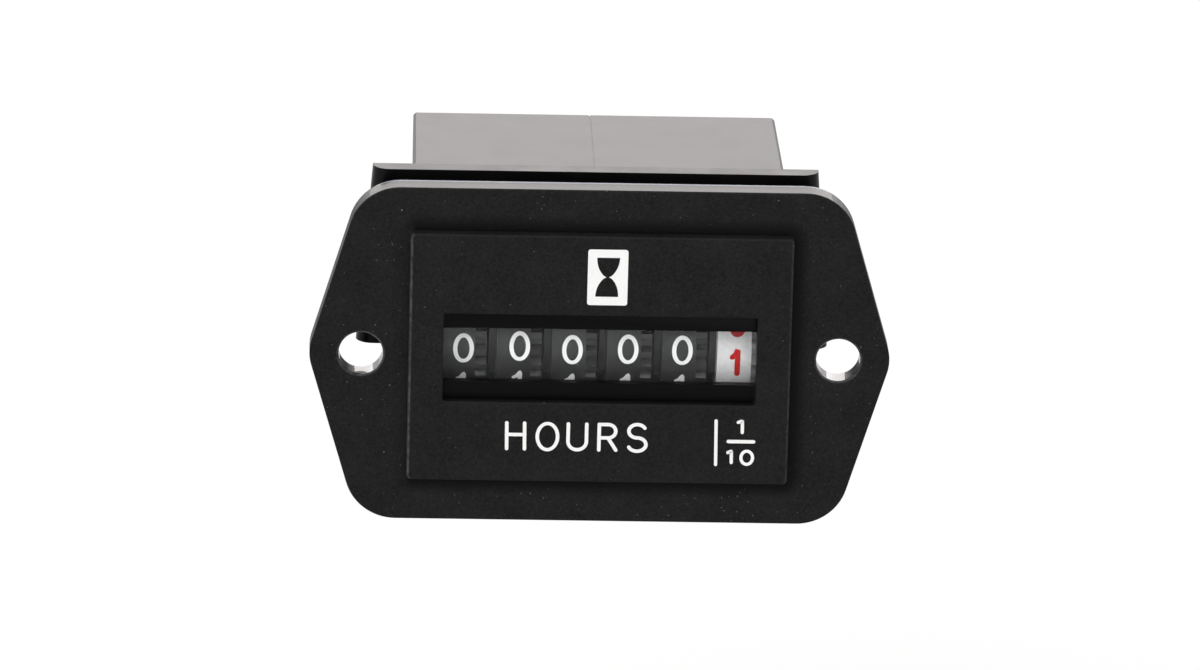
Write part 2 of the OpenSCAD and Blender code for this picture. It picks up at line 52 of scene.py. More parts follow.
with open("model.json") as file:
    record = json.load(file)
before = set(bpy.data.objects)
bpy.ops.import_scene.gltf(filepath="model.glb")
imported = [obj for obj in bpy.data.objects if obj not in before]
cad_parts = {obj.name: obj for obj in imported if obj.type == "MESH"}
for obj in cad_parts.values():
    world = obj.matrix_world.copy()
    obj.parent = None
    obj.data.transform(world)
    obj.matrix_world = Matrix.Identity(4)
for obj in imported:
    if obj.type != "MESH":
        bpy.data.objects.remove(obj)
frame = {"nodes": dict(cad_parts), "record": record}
cadLow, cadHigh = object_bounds()
nodes = frame["nodes"]
print("frame loaded,", len(nodes), "nodes")


# Mesh helpers

# One mesh object from blocks of points, faces and masks, in millimetres, with doubles merged.
def makePiece(name, blocks, material, body):
    vertices = []
    faces = []
    masks = {"edge": [], "paintedShade": [], "line": [], "smooth": [], "gloss": []}
    start = 0
    for block in blocks:
        points = np.asarray(block["points"], float).reshape(-1, 3)
        vertices.append(points)
        for key, rows in masks.items():
            share = np.asarray(block.get(key, 0.0), float).reshape(-1)
            rows.append(np.broadcast_to(share, len(points)))
        faces += (np.asarray(block["faces"], int) + start).tolist()
        start += len(points)
    mesh = bpy.data.meshes.new(name)
    mesh.from_pydata((np.vstack(vertices) * mm).tolist(), [], faces)
    for key, rows in masks.items():
        layer = mesh.attributes.new(key, "FLOAT", "POINT")
        layer.data.foreach_set("value", np.concatenate(rows).astype(np.float32))
    work = bmesh.new()
    work.from_mesh(mesh)
    bmesh.ops.remove_doubles(work, verts=work.verts, dist=weldDistance)
    bmesh.ops.dissolve_degenerate(work, edges=work.edges, dist=thinDistance)
    work.to_mesh(mesh)
    work.free()
    piece = bpy.data.objects.new(name, mesh)
    bpy.context.scene.collection.objects.link(piece)
    mesh.materials.append(material)
    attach(piece, body)
    return piece


# Quads of a grid of rows by columns, wrapped round where a side is closed.
def gridFaces(rows, columns, closedRows=False, closedColumns=False, flip=False):
    i = np.arange(rows if closedRows else rows - 1)[:, None]
    j = np.arange(columns if closedColumns else columns - 1)[None, :]
    iNext = (i + 1) % rows
    jNext = (j + 1) % columns
    quads = np.stack(np.broadcast_arrays(
        i * columns + j, i * columns + jNext, iNext * columns + jNext, iNext * columns + j), -1)
    quads = quads.reshape(-1, 4)
    return quads[:, ::-1] if flip else quads


# Closed outline from corner points and radii: each corner is an arc from one tangent point to the
# other, turned about its centre. Gives points and outward normals, in X and Z.
def roundOutline(corners, radii, steps):
    corners = np.asarray(corners, float)
    radii = np.asarray(radii, float)[:, None]
    toPrevious = np.roll(corners, 1, 0) - corners
    toNext = np.roll(corners, -1, 0) - corners
    toPrevious /= np.linalg.norm(toPrevious, axis=1, keepdims=True)
    toNext /= np.linalg.norm(toNext, axis=1, keepdims=True)
    half = np.arccos(np.clip((toPrevious * toNext).sum(1, keepdims=True), -1, 1)) / 2
    middle = toPrevious + toNext
    middle /= np.linalg.norm(middle, axis=1, keepdims=True)
    centre = corners + middle * radii / np.sin(half)
    first = (corners + toPrevious * radii / np.tan(half) - centre) / radii
    last = (corners + toNext * radii / np.tan(half) - centre) / radii
    turn = (math.pi - 2 * half)[:, None, :]
    t = np.linspace(0, 1, steps)[None, :, None]
    normals = np.sin((1 - t) * turn) * first[:, None] + np.sin(t * turn) * last[:, None]
    normals /= np.sin(turn)
    points = centre[:, None] + radii[:, None] * normals
    return points.reshape(-1, 2), normals.reshape(-1, 2)


def boxOutline(halfW, halfH, radius, steps=6):
    corners = [(halfW, halfH), (-halfW, halfH), (-halfW, -halfH), (halfW, -halfH)]
    return roundOutline(corners, [radius] * len(corners), steps)


def circleOutline(x, z, radius, steps=48):
    angle = np.arange(steps) / steps * 2 * math.pi
    normals = np.stack((np.cos(angle), np.sin(angle)), 1)
    return np.array([x, z]) + radius * normals, normals


# Profile carried along a closed outline: each profile row is (outset, depth, edge share), and a point is
# the outline moved out along its normal by the outset, at that depth.
def sweep(outline, profile, flip=False):
    points, normals = outline
    rows = np.asarray(profile, float)
    flat = points[:, None, :] + normals[:, None, :] * rows[None, :, 0:1]
    depth = np.broadcast_to(rows[None, :, 1], flat.shape[:2])
    grid = np.stack((flat[..., 0], depth, flat[..., 1]), -1)
    edge = np.broadcast_to(rows[None, :, 2], flat.shape[:2])
    return {"points": grid.reshape(-1, 3), "edge": edge.reshape(-1),
            "faces": gridFaces(len(points), len(rows), closedRows=True, flip=flip)}


# Marks the part of a wall between two depths as smooth.
def smoothBetween(wall, front, back):
    depth = wall["points"][:, 1]
    wall["smooth"] = ((depth > front) & (depth < back)).astype(float)
    return wall


# Quarter round from one outset and depth to another, as profile rows with the edge share rising
# to one half way round.
def quarter(fromOut, fromDepth, toOut, toDepth, outFirst, steps=6):
    t = np.linspace(0, math.pi / 2, steps)
    slow = 1 - np.cos(t)
    fast = np.sin(t)
    out = fromOut + (toOut - fromOut) * (fast if outFirst else slow)
    depth = fromDepth + (toDepth - fromDepth) * (slow if outFirst else fast)
    return np.stack((out, depth, np.sin(2 * t)), 1).tolist()


# Which points lie inside an outline: a ray to the right crosses its sides an odd number of times.
def insideOutline(points, outline):
    a, b = outline[None], np.roll(outline, -1, 0)[None]
    x, z = points[:, None, 0], points[:, None, 1]
    spans = (a[..., 1] > z) != (b[..., 1] > z)
    rise = np.where(spans, b[..., 1] - a[..., 1], 1.0)
    crossing = a[..., 0] + (z - a[..., 1]) / rise * (b[..., 0] - a[..., 0])
    return (spans & (x < crossing)).sum(1) % 2 == 1


# Flat face at one depth inside the first outline and outside the others.
def flatFill(outlines, depth, towardsFront):
    points = np.vstack(outlines)
    ends = np.cumsum([len(outline) for outline in outlines])
    first = np.arange(len(points))
    second = first + 1
    second[ends - 1] = np.concatenate(([0], ends[:-1]))
    edges = np.stack((first, second), 1).tolist()
    corners = [Vector(point) for point in points.tolist()]
    flat, _, faces, _, _, _ = delaunay_2d_cdt(corners, edges, [], 0, fillTolerance)
    flat = np.array([tuple(point) for point in flat])
    triangles = np.array(faces)
    middle = flat[triangles].mean(1)
    kept = insideOutline(middle, outlines[0])
    for hole in outlines[1:]:
        kept &= ~insideOutline(middle, hole)
    triangles = triangles[kept]
    a, b, c = (flat[triangles[:, k]] for k in range(3))
    area = (b[:, 0] - a[:, 0]) * (c[:, 1] - a[:, 1]) - (b[:, 1] - a[:, 1]) * (c[:, 0] - a[:, 0])
    wrong = (area > 0) != towardsFront
    triangles[wrong] = triangles[wrong][:, ::-1]
    grid = np.stack((flat[:, 0], np.full(len(flat), depth), flat[:, 1]), 1)
    return {"points": grid, "faces": triangles}


# Shader helpers

def addNode(tree, kind, place, **settings):
    node = tree.nodes.new(kind)
    node.location = place
    for key, value in settings.items():
        setattr(node, key, value)
    return node


# Feeds a socket from another socket by a link, or else gives it a plain value.
def feed(tree, socket, value):
    if isinstance(value, bpy.types.NodeSocket):
        tree.links.new(value, socket)
    else:
        socket.default_value = value


# Empty node group with named inputs and outputs, each given as name and kind.
def newGroup(name, inputs, outputs):
    tree = bpy.data.node_groups.new(name, "ShaderNodeTree")
    for way, sockets in (("INPUT", inputs), ("OUTPUT", outputs)):
        for socketName, kind in sockets.items():
            tree.interface.new_socket(name=socketName, in_out=way, socket_type="NodeSocket" + kind)
    return tree, addNode(tree, "NodeGroupInput", (-900, 0)), addNode(tree, "NodeGroupOutput", (700, 0))


def mapRange(tree, place, value, low, high, outLow, outHigh):
    node = addNode(tree, "ShaderNodeMapRange", place)
    names = ("Value", "From Min", "From Max", "To Min", "To Max")
    for name, given in zip(names, (value, low, high, outLow, outHigh)):
        feed(tree, node.inputs[name], given)
    return node.outputs["Result"]


def mathNode(tree, place, operation, a, b):
    node = addNode(tree, "ShaderNodeMath", place, operation=operation)
    feed(tree, node.inputs[0], a)
    feed(tree, node.inputs[1], b)
    return node.outputs[0]


def noise(tree, place, vector, scale, detail):
    node = addNode(tree, "ShaderNodeTexNoise", place)
    for name, given in (("Vector", vector), ("Scale", scale), ("Detail", detail)):
        feed(tree, node.inputs[name], given)
    return node.outputs["Fac"]


# Sockets of a colour mix, by number because several share a name
mixFirst = 6
mixSecond = 7
mixResult = 2


def mixColour(tree, place, factor, a, b):
    node = addNode(tree, "ShaderNodeMix", place, data_type="RGBA")
    tree.links.new(factor, node.inputs["Factor"])
    for number, value in ((mixFirst, a), (mixSecond, b)):
        feed(tree, node.inputs[number], (*value, 1.0) if isinstance(value, tuple) else value)
    return node.outputs[mixResult]


def attribute(tree, place, name):
    return addNode(tree, "ShaderNodeAttribute", place, attribute_name=name).outputs["Fac"]


# Moulded grain: fine noise as height, a wider one as roughness, and a mix of both as tone.
grainLook = {"fineDetail": 4.0, "fineShare": 0.7, "wideScale": 260.0, "wideDetail": 3.0, "wideShare": 0.3,
             "spread": (0.3, 0.7)}


def buildGrain(look):
    tree, source, sink = newGroup(
        "mouldedGrain", {"Vector": "Vector", "Scale": "Float", "Rough Low": "Float", "Rough High": "Float"},
        {"Height": "Float", "Roughness": "Float", "Tone": "Float"})
    given = source.outputs
    fine = noise(tree, (-600, 200), given["Vector"], given["Scale"], look["fineDetail"])
    wide = noise(tree, (-600, -100), given["Vector"], look["wideScale"], look["wideDetail"])
    rough = mapRange(tree, (-200, -100), wide, *look["spread"], given["Rough Low"], given["Rough High"])
    fineTone = mathNode(tree, (-400, 200), "MULTIPLY", fine, look["fineShare"])
    wideTone = mathNode(tree, (-400, 50), "MULTIPLY", wide, look["wideShare"])
    tree.links.new(fine, sink.inputs["Height"])
    tree.links.new(rough, sink.inputs["Roughness"])
    tree.links.new(mathNode(tree, (-200, 200), "ADD", fineTone, wideTone), sink.inputs["Tone"])
    return tree


# Specks: rare bright cells of a fine noise, with a wider noise that gathers them in patches.
speckLook = {"scale": 4200.0, "fineDetail": 1.0, "wideScale": 180.0, "wideDetail": 2.0, "gather": 0.12,
             "soft": 0.06}


def buildSpecks(look):
    tree, source, sink = newGroup("dustSpecks", {"Vector": "Vector", "Threshold": "Float"}, {"Mask": "Float"})
    given = source.outputs
    fine = noise(tree, (-600, 200), given["Vector"], look["scale"], look["fineDetail"])
    wide = noise(tree, (-600, -100), given["Vector"], look["wideScale"], look["wideDetail"])
    patches = mathNode(tree, (-450, -100), "MULTIPLY", wide, look["gather"])
    gathered = mathNode(tree, (-350, 100), "ADD", fine, patches)
    top = mathNode(tree, (-250, -200), "ADD", given["Threshold"], look["soft"])
    mask = mapRange(tree, (0, 100), gathered, given["Threshold"], top, 0.0, 1.0)
    tree.links.new(mask, sink.inputs["Mask"])
    return tree


# Edge wear and painted highlight: the mesh's edge share, broken up by noise.
wearAndHighlightLook = {"scale": 1400.0, "detail": 3.0, "spread": (0.2, 0.7)}


def buildWearAndHighlight(look):
    tree, source, sink = newGroup(
        "edgeWear", {"Vector": "Vector", "Edge": "Float", "Amount": "Float"}, {"Mask": "Float"})
    given = source.outputs
    broken = noise(tree, (-600, 0), given["Vector"], look["scale"], look["detail"])
    share = mapRange(tree, (-350, 0), broken, *look["spread"], 0.0, given["Amount"])
    tree.links.new(mathNode(tree, (0, 0), "MULTIPLY", given["Edge"], share), sink.inputs["Mask"])
    return tree


grainGroup = buildGrain(grainLook)
specksGroup = buildSpecks(speckLook)
wearAndHighlightGroup = buildWearAndHighlight(wearAndHighlightLook)


# Places a group in a tree. A value named roughLow goes to the input Rough Low.
def useGroup(tree, group, place, vector, **values):
    node = addNode(tree, "ShaderNodeGroup", place, node_tree=group)
    tree.links.new(vector, node.inputs["Vector"])
    for key, value in values.items():
        name = key[0].upper() + "".join(" " + c if c.isupper() else c for c in key[1:])
        feed(tree, node.inputs[name], value)
    return node.outputs


def addGrain(tree, vector, look):
    low, high = look["rough"]
    return useGroup(tree, grainGroup, (-1000, 200), vector, scale=look["grainScale"],
                    roughLow=low, roughHigh=high)


def newMaterial(name):
    material = bpy.data.materials.new(name)
    material.use_nodes = True
    tree = material.node_tree
    return material, tree, tree.nodes["Principled BSDF"]


def addBump(tree, shader, height, look):
    bump = addNode(tree, "ShaderNodeBump", (-300, -200))
    bump.inputs["Strength"].default_value = look["bump"]
    bump.inputs["Distance"].default_value = look["bumpDepth"]
    tree.links.new(height, bump.inputs["Height"])
    tree.links.new(bump.outputs["Normal"], shader.inputs["Normal"])


# Mixes two shaders by a share and gives the result to the surface.
def mixSurface(tree, share, first, second):
    mix = addNode(tree, "ShaderNodeMixShader", (300, 0))
    for socket, source in zip(mix.inputs, (share, first, second)):
        tree.links.new(source, socket)
    tree.links.new(mix.outputs["Shader"], tree.nodes["Material Output"].inputs["Surface"])


# Painted shade: one to the left of a place along the axle, nought to its right.
def sideShadeMask(tree, vector, look):
    apart = addNode(tree, "ShaderNodeSeparateXYZ", (-1000, -700))
    tree.links.new(vector, apart.inputs["Vector"])
    soft = look["sideEnd"] - look["sideSoft"]
    return mapRange(tree, (-700, -700), apart.outputs["X"], soft, look["sideEnd"], 1.0, 0.0)


# Painted light: one near the axle, nought further out, between the two radii of the core.
def paintedCoreLightMask(tree, vector, core):
    around = addNode(tree, "ShaderNodeMapping", (-1300, -1200))
    around.inputs["Location"].default_value = (0.0, -core["axisY"], 0.0)
    around.inputs["Scale"].default_value = (0.0, 1.0, 1.0)
    tree.links.new(vector, around.inputs["Vector"])
    out = addNode(tree, "ShaderNodeVectorMath", (-1100, -1200), operation="LENGTH")
    tree.links.new(around.outputs["Vector"], out.inputs[0])
    return mapRange(tree, (-900, -1200), out.outputs["Value"], *core["radius"], 1.0, 0.0)


# Plastic with grain and tone. Where its look asks for them it has specks, edge wear with a painted highlight,
# painted shade on a left side, painted light on a core by the distance from the axle, marks of painted
# reflection and painted shade, a glossy coat and smooth walls.
def plastic(name, look):
    material, tree, shader = newMaterial(name)
    vector = addNode(tree, "ShaderNodeTexCoord", (-1300, 0)).outputs["Object"]
    grain = addGrain(tree, vector, look)
    tone = mapRange(tree, (-800, 300), grain["Tone"], *grainLook["spread"], 0.0, 1.0)
    colour = mixColour(tree, (-600, 300), tone, look["dark"], look["light"])
    if look.get("specks"):
        mask = useGroup(tree, specksGroup, (-1000, -100), vector, threshold=look["specks"])["Mask"]
        colour = mixColour(tree, (-400, 300), mask, colour, look["speckColour"])
    # Edge wear, and a painted highlight where the edge share carries one.
    if look.get("wear"):
        edge = attribute(tree, (-1300, -300), "edge")
        mask = useGroup(tree, wearAndHighlightGroup, (-1000, -300), vector, edge=edge, amount=look["wear"])["Mask"]
        colour = mixColour(tree, (-200, 300), mask, colour, look["wearAndHighlightColour"])
    # Painted shade on the left side.
    if look.get("sideEnd"):
        mask = sideShadeMask(tree, vector, look)
        colour = mixColour(tree, (-100, 300), mask, colour, look["sideShadeColour"])
    # Painted light on the core near the axle.
    if look.get("core"):
        mask = paintedCoreLightMask(tree, vector, look["core"])
        colour = mixColour(tree, (-50, 300), mask, colour, look["core"]["colour"])
    # Marks from mesh masks: a painted reflection and painted shade.
    for key, (amount, tint) in look.get("marks", {}).items():
        share = mathNode(tree, (-1000, -500), "MULTIPLY", attribute(tree, (-1300, -500), key), amount)
        colour = mixColour(tree, (0, 300), share, colour, tint)
    if look.get("gloss"):
        glossy = attribute(tree, (-1300, -1400), "gloss")
        coat = mathNode(tree, (-1000, -1400), "MULTIPLY", glossy, look["gloss"])
        tree.links.new(coat, shader.inputs["Coat Weight"])
    rough, height = grain["Roughness"], grain["Height"]
    if look.get("smooth"):
        wall = attribute(tree, (-1300, -900), "smooth")
        rough = mapRange(tree, (-400, -700), wall, 0.0, 1.0, rough, look["smooth"])
        grained = mapRange(tree, (-700, -900), wall, 0.0, 1.0, 1.0, look["smoothGrain"])
        height = mathNode(tree, (-400, -900), "MULTIPLY", height, grained)
    tree.links.new(colour, shader.inputs["Base Color"])
    tree.links.new(rough, shader.inputs["Roughness"])
    addBump(tree, shader, height, look)
    shader.inputs["Specular IOR Level"].default_value = look["specular"]
    return material


# Metal with drawn lines along one axis and a little tone.
def metal(name, look):
    material, tree, shader = newMaterial(name)
    vector = addNode(tree, "ShaderNodeTexCoord", (-1500, 0)).outputs["Object"]
    stretch = addNode(tree, "ShaderNodeMapping", (-1300, 0))
    stretch.inputs["Scale"].default_value = look["stretch"]
    tree.links.new(vector, stretch.inputs["Vector"])
    grain = addGrain(tree, stretch.outputs["Vector"], look)
    colour = mixColour(tree, (-600, 300), grain["Tone"], look["dark"], look["light"])
    tree.links.new(colour, shader.inputs["Base Color"])
    tree.links.new(grain["Roughness"], shader.inputs["Roughness"])
    addBump(tree, shader, grain["Height"], look)
    shader.inputs["Metallic"].default_value = 1.0
    return material


# Clear lens: glass with a faint veil for the eye, see-through for shadow rays.
def clearLens(name, look):
    material, tree, shader = newMaterial(name)
    vector = addNode(tree, "ShaderNodeTexCoord", (-1300, 0)).outputs["Object"]
    tree.links.new(addGrain(tree, vector, look)["Roughness"], shader.inputs["Roughness"])
    shader.inputs["Base Color"].default_value = (*look["colour"], 1.0)
    shader.inputs["Transmission Weight"].default_value = look["clear"]
    shader.inputs["IOR"].default_value = look["index"]
    clear = addNode(tree, "ShaderNodeBsdfTransparent", (0, -300))
    path = addNode(tree, "ShaderNodeLightPath", (0, 300))
    mixSurface(tree, path.outputs["Is Shadow Ray"], shader.outputs["BSDF"], clear.outputs["BSDF"])
    return material


bezelFinish = {"dark": (0.0055, 0.0055, 0.0057), "light": (0.0165, 0.0163, 0.0168), "rough": (0.4, 0.48),
               "grainScale": 3800.0, "bump": 0.6, "bumpDepth": 0.00006, "specular": 0.07,
               "specks": 0.82, "speckColour": (0.18, 0.18, 0.19),
               # Edge wear and painted edge highlight, pale.
               "wear": 1.0, "wearAndHighlightColour": (0.085, 0.085, 0.09),
               # Marks: a pale line of painted reflection along the rim's top, and painted shade in the window
               # recess and round the pad's foot.
               "marks": {"line": (0.9, (0.22, 0.252, 0.31)), "paintedShade": (0.95, (0.001, 0.001, 0.001))},
               "smooth": 0.34, "smoothGrain": 0.15, "gloss": 0.7}
plainPlastic = {"rough": (0.4, 0.5), "grainScale": 2600.0, "bump": 0.1, "bumpDepth": 0.00003,
                "specular": 0.4}
caseFinish = dict(plainPlastic, dark=(0.011, 0.011, 0.0115), light=(0.013, 0.013, 0.0135),
                  rough=(0.33, 0.35), grainScale=2200.0, specular=0.13)
clipFinish = dict(plainPlastic, dark=(0.0015, 0.0015, 0.0015), light=(0.0025, 0.0025, 0.0025),
                  rough=(0.28, 0.36), bump=0.15, specular=0.1)
frameFinish = dict(plainPlastic, dark=(0.04, 0.042, 0.047), light=(0.05, 0.052, 0.058),
                   rough=(0.4, 0.55), bump=0.2)
# Painted light: a paler colour near the axle lifts the dark wheels' gear zone out of its shade.
wheelPaintedCoreLight = {"axisY": 0.008, "radius": (0.00715, 0.0073), "colour": (0.036, 0.035, 0.037)}
darkWheelFinish = dict(plainPlastic, dark=(0.0155, 0.0155, 0.0165), light=(0.0245, 0.024, 0.0255),
                       rough=(0.38, 0.5), bump=0.15, specks=0.79, speckColour=(0.3, 0.3, 0.3),
                       core=wheelPaintedCoreLight)
# Left of its rim the light wheel carries painted shade.
lightWheelFinish = dict(plainPlastic, dark=(0.58, 0.57, 0.57), light=(0.72, 0.71, 0.71),
                        rough=(0.4, 0.55), bump=0.15, sideEnd=0.01262, sideSoft=0.00003,
                        sideShadeColour=(0.045, 0.045, 0.047))
pinionFinish = dict(plainPlastic, dark=(0.6, 0.58, 0.48), light=(0.68, 0.66, 0.56))
gearFinish = dict(plainPlastic, dark=(0.68, 0.65, 0.52), light=(0.76, 0.73, 0.6))
magnetFinish = dict(plainPlastic, dark=(0.06, 0.06, 0.07), light=(0.09, 0.09, 0.1),
                    rough=(0.45, 0.6), grainScale=5000.0, bump=0.3, specular=0.5)
bobbinFinish = dict(plainPlastic, dark=(0.62, 0.6, 0.54), light=(0.7, 0.68, 0.62))
boardFinish = dict(plainPlastic, dark=(0.02, 0.13, 0.045), light=(0.035, 0.18, 0.07),
                   rough=(0.25, 0.4), grainScale=1800.0, bump=0.15, specular=0.5)
chipFinish = dict(plainPlastic, dark=(0.01, 0.01, 0.011), light=(0.014, 0.014, 0.015),
                  rough=(0.45, 0.6), grainScale=4200.0, bump=0.25)
sleeveFinish = dict(plainPlastic, dark=(0.025, 0.045, 0.1), light=(0.035, 0.055, 0.12),
                    rough=(0.2, 0.3), grainScale=1600.0, specular=0.5)
resistorFinish = dict(plainPlastic, dark=(0.54, 0.42, 0.24), light=(0.62, 0.5, 0.3),
                      grainScale=2200.0, bump=0.15)
whitePaint = {"dark": (0.82, 0.82, 0.81), "light": (0.9, 0.9, 0.89), "rough": (0.45, 0.6),
              "grainScale": 5200.0, "bump": 0.15, "bumpDepth": 0.00002, "specular": 0.3}
# Painted shade: a greyer white for the first wheel's numerals, in place of the shade at the window's left
# end.
paintedShadeWhite = dict(whitePaint, dark=(0.72, 0.72, 0.72), light=(0.79, 0.79, 0.79))
redPaint = dict(whitePaint, dark=(0.38, 0.004, 0.003), light=(0.5, 0.006, 0.004), rough=(0.4, 0.55),
                specular=0.15)
plainMetal = {"rough": (0.25, 0.36), "grainScale": 2400.0, "bump": 0.25, "bumpDepth": 0.00001}
brassFinish = dict(plainMetal, dark=(0.62, 0.46, 0.2), light=(0.78, 0.62, 0.32), rough=(0.22, 0.34),
                   stretch=(1.0, 0.08, 1.0))
steelFinish = dict(plainMetal, dark=(0.5, 0.5, 0.51), light=(0.62, 0.62, 0.64), stretch=(1.0, 0.1, 1.0))
shaftFinish = dict(plainMetal, dark=(0.56, 0.56, 0.58), light=(0.66, 0.66, 0.68), rough=(0.18, 0.28),
                   bump=0.2, stretch=(0.08, 1.0, 1.0))
copperFinish = dict(plainMetal, dark=(0.45, 0.15, 0.045), light=(0.62, 0.25, 0.08), grainScale=5200.0,
                    bump=0.5, stretch=(0.05, 1.0, 0.05))
lensFinish = {"grainScale": 900.0, "rough": (0.0, 0.02), "colour": (0.97, 0.98, 0.98), "clear": 0.993,
              "index": 1.12}

materials = {
    "bezel_plastic": plastic("bezelPlastic", bezelFinish),
    "lens_clear": clearLens("lensClear", lensFinish),
    "case_plastic": plastic("casePlastic", caseFinish),
    "clip_plastic": plastic("clipPlastic", clipFinish),
    "tab_brass": metal("tabBrass", brassFinish),
    "frame_plastic": plastic("framePlastic", frameFinish),
    "bridge_steel": metal("bridgeSteel", steelFinish),
    "shaft_steel": metal("shaftSteel", shaftFinish),
    "wheel_light": plastic("wheelLight", lightWheelFinish),
    "wheel_dark": plastic("wheelDark", darkWheelFinish),
    "pinion_plastic": plastic("pinionPlastic", pinionFinish),
    "gear_plastic": plastic("gearPlastic", gearFinish),
    "magnet_grey": plastic("magnetGrey", magnetFinish),
    "stator_steel": metal("statorSteel", steelFinish),
    "bobbin_plastic": plastic("bobbinPlastic", bobbinFinish),
    "winding_copper": metal("windingCopper", copperFinish),
    "pin_tinned": metal("pinTinned", shaftFinish),
    "board_green": plastic("boardGreen", boardFinish),
    "chip_black": plastic("chipBlack", chipFinish),
    "can_metal": metal("canMetal", shaftFinish),
    "capacitor_sleeve": plastic("capacitorSleeve", sleeveFinish),
    "resistor_body": plastic("resistorBody", resistorFinish),
}
paintWhite = plastic("paintWhite", whitePaint)
whiteWithPaintedShade = plastic("whiteWithPaintedShade", paintedShadeWhite)
paintRed = plastic("paintRed", redPaint)
for row in frame["record"]["subparts"]:
    piece = nodes[row["node"]]
    piece.data.materials.clear()
    piece.data.materials.append(materials[row["material_slot"]])


# Front moulding with rounded edges, in place of the plain solid

bezelLow, bezelHigh = (np.array(corner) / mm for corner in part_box("front_bezel"))
lensLow, lensHigh = (np.array(corner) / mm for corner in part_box("lens"))
# In this table the pale line's width, softness and rise size a painted reflection, shade sizes the painted
# shade round the pad, and the right-edge share sizes the pad's painted highlight.
bezelLook = {
    "flangeT": 2.8, "sideSlope": 16.6, "cornerR": 5.5, "tipR": 5.0, "rimSteps": 16,
    "edgeR": 0.2, "backR": 0.1, "sharpAngle": 35.0,
    "reflectionBand": 0.35, "reflectionSoft": 0.15, "reflectionRise": 0.9, "smoothRise": (0.45, 0.85),
    "rimSmooth": 0.75, "rimGloss": 0.3,
    "holeSpacing": 50.8, "holeR": 2.35, "holeEdge": 0.25,
    "padW": 40.6, "padH": 27.6, "padR": 0.3, "padCorner": 0.5, "foot": 0.05, "highlightRight": 0.4,
    "shade": ((1.9, 0.0), (0.7, 0.8), (0.05, 0.95)), "shadeLeft": 0.25,
    "windowW": 33.3, "windowH": 9.8, "windowR": 0.15, "windowCorner": 0.25, "sill": 1.2, "slotH": 6.0,
    "seatPlay": 0.05, "tongueW": 34.0, "tongueT": 1.2, "tongueOut": 14.05, "tongueR": 0.3, "tongueEdge": 0.2}


# Rim of the flange: six corners, two tips with slanted sides and four shoulders.
def rimOutline(look):
    halfW, halfH = (bezelHigh[0] - bezelLow[0]) / 2, (bezelHigh[2] - bezelLow[2]) / 2
    slope = math.radians(look["sideSlope"])
    tipX = halfW + look["tipR"] * (1 / math.cos(slope) - 1)
    shoulderX = tipX - halfH * math.tan(slope)
    right = [(tipX, 0), (shoulderX, halfH)]
    left = [(-shoulderX, halfH), (-tipX, 0), (-shoulderX, -halfH)]
    radii = [look["tipR"], look["cornerR"], look["cornerR"]] * 2
    return roundOutline(right + left + [(shoulderX, -halfH)], radii, look["rimSteps"])


# Wall of the rim from back to front: its upward stretch is smoother and glossy between the two
# roundings, with a pale bluish line along its back that is a painted reflection.
def rimWall(rim, look):
    face, edge, back, line = -look["flangeT"], look["edgeR"], look["backR"], look["reflectionBand"]
    rows = quarter(-back, 0, 0, -back, True) + [[0, -line, 0], [0, -line - look["reflectionSoft"], 0]]
    rows += quarter(0, face + edge, -edge, face, False)
    wall = smoothBetween(sweep(rim, rows), face + edge / 2, -back / 2)
    rise = np.repeat(rim[1][:, 1], len(rows))
    atBack = wall["points"][:, 1] > -line - look["reflectionSoft"] / 2
    wall["edge"] = 0.0
    # The pale line is a painted reflection of the bright surroundings on the rim's upward stretch.
    wall["line"] = wall["smooth"] * ((rise > look["reflectionRise"]) & atBack)
    wall["smooth"] = wall["smooth"] * np.interp(rise, look["smoothRise"], (0, look["rimSmooth"]))
    wall["gloss"] = wall["smooth"] * look["rimGloss"]
    return wall


# Wall of the raised pad, with a painted highlight along its left edge and less along its right one, and
# painted shade at its foot.
def padWall(pad, front, look):
    face, foot, top = -look["flangeT"], look["foot"], look["padR"]
    rows = quarter(foot, face, 0, face - foot, True) + quarter(0, front + top, -top, front, False)
    wall = sweep(pad, rows)
    # Painted highlight on the pad's edges: full on the left, none at top and bottom, weaker on the right.
    edgeHighlight = np.interp(pad[1][:, 0], (-1, 0, 1), (1, 0, look["highlightRight"]))
    atFoot = wall["points"][:, 1] > face - foot / 2
    wall["edge"] = wall["edge"] * np.repeat(edgeHighlight, len(rows))
    # Painted shade in the corner at the foot of the pad.
    wall["paintedShade"] = np.repeat(padShade(pad, look), len(rows)) * look["shade"][-1][1] * atFoot
    return wall


# Strength of the painted shade in the corner at the foot of the pad on each side: paler on the left.
def padShade(pad, look):
    return 1 - (1 - look["shadeLeft"]) * np.clip(-pad[1][:, 0], 0, 1)


# Flat band round the foot of the pad, with painted shade darker towards the pad.
def padBand(pad, look):
    outsets, shares = np.array(look["shade"]).T
    band = sweep(pad, [[outset, -look["flangeT"], 0] for outset in outsets])
    return dict(band, paintedShade=np.outer(padShade(pad, look), shares).reshape(-1))


# Two tongues behind the flange that hold the case.
def buildTongues(look):
    blocks = []
    end, edge = bezelHigh[1], look["tongueEdge"]
    for side in (-1, 1):
        middle = side * (look["tongueOut"] - look["tongueT"] / 2)
        points, normals = boxOutline(look["tongueW"] / 2, look["tongueT"] / 2, look["tongueR"])
        tongue = (points + np.array([0, middle]), normals)
        blocks.append(sweep(tongue, [[0, -edge, 0], [0, end - edge, 0], [-edge, end, 1]], True))
        blocks.append(flatFill([tongue[0] - tongue[1] * edge], end, False))
    return blocks


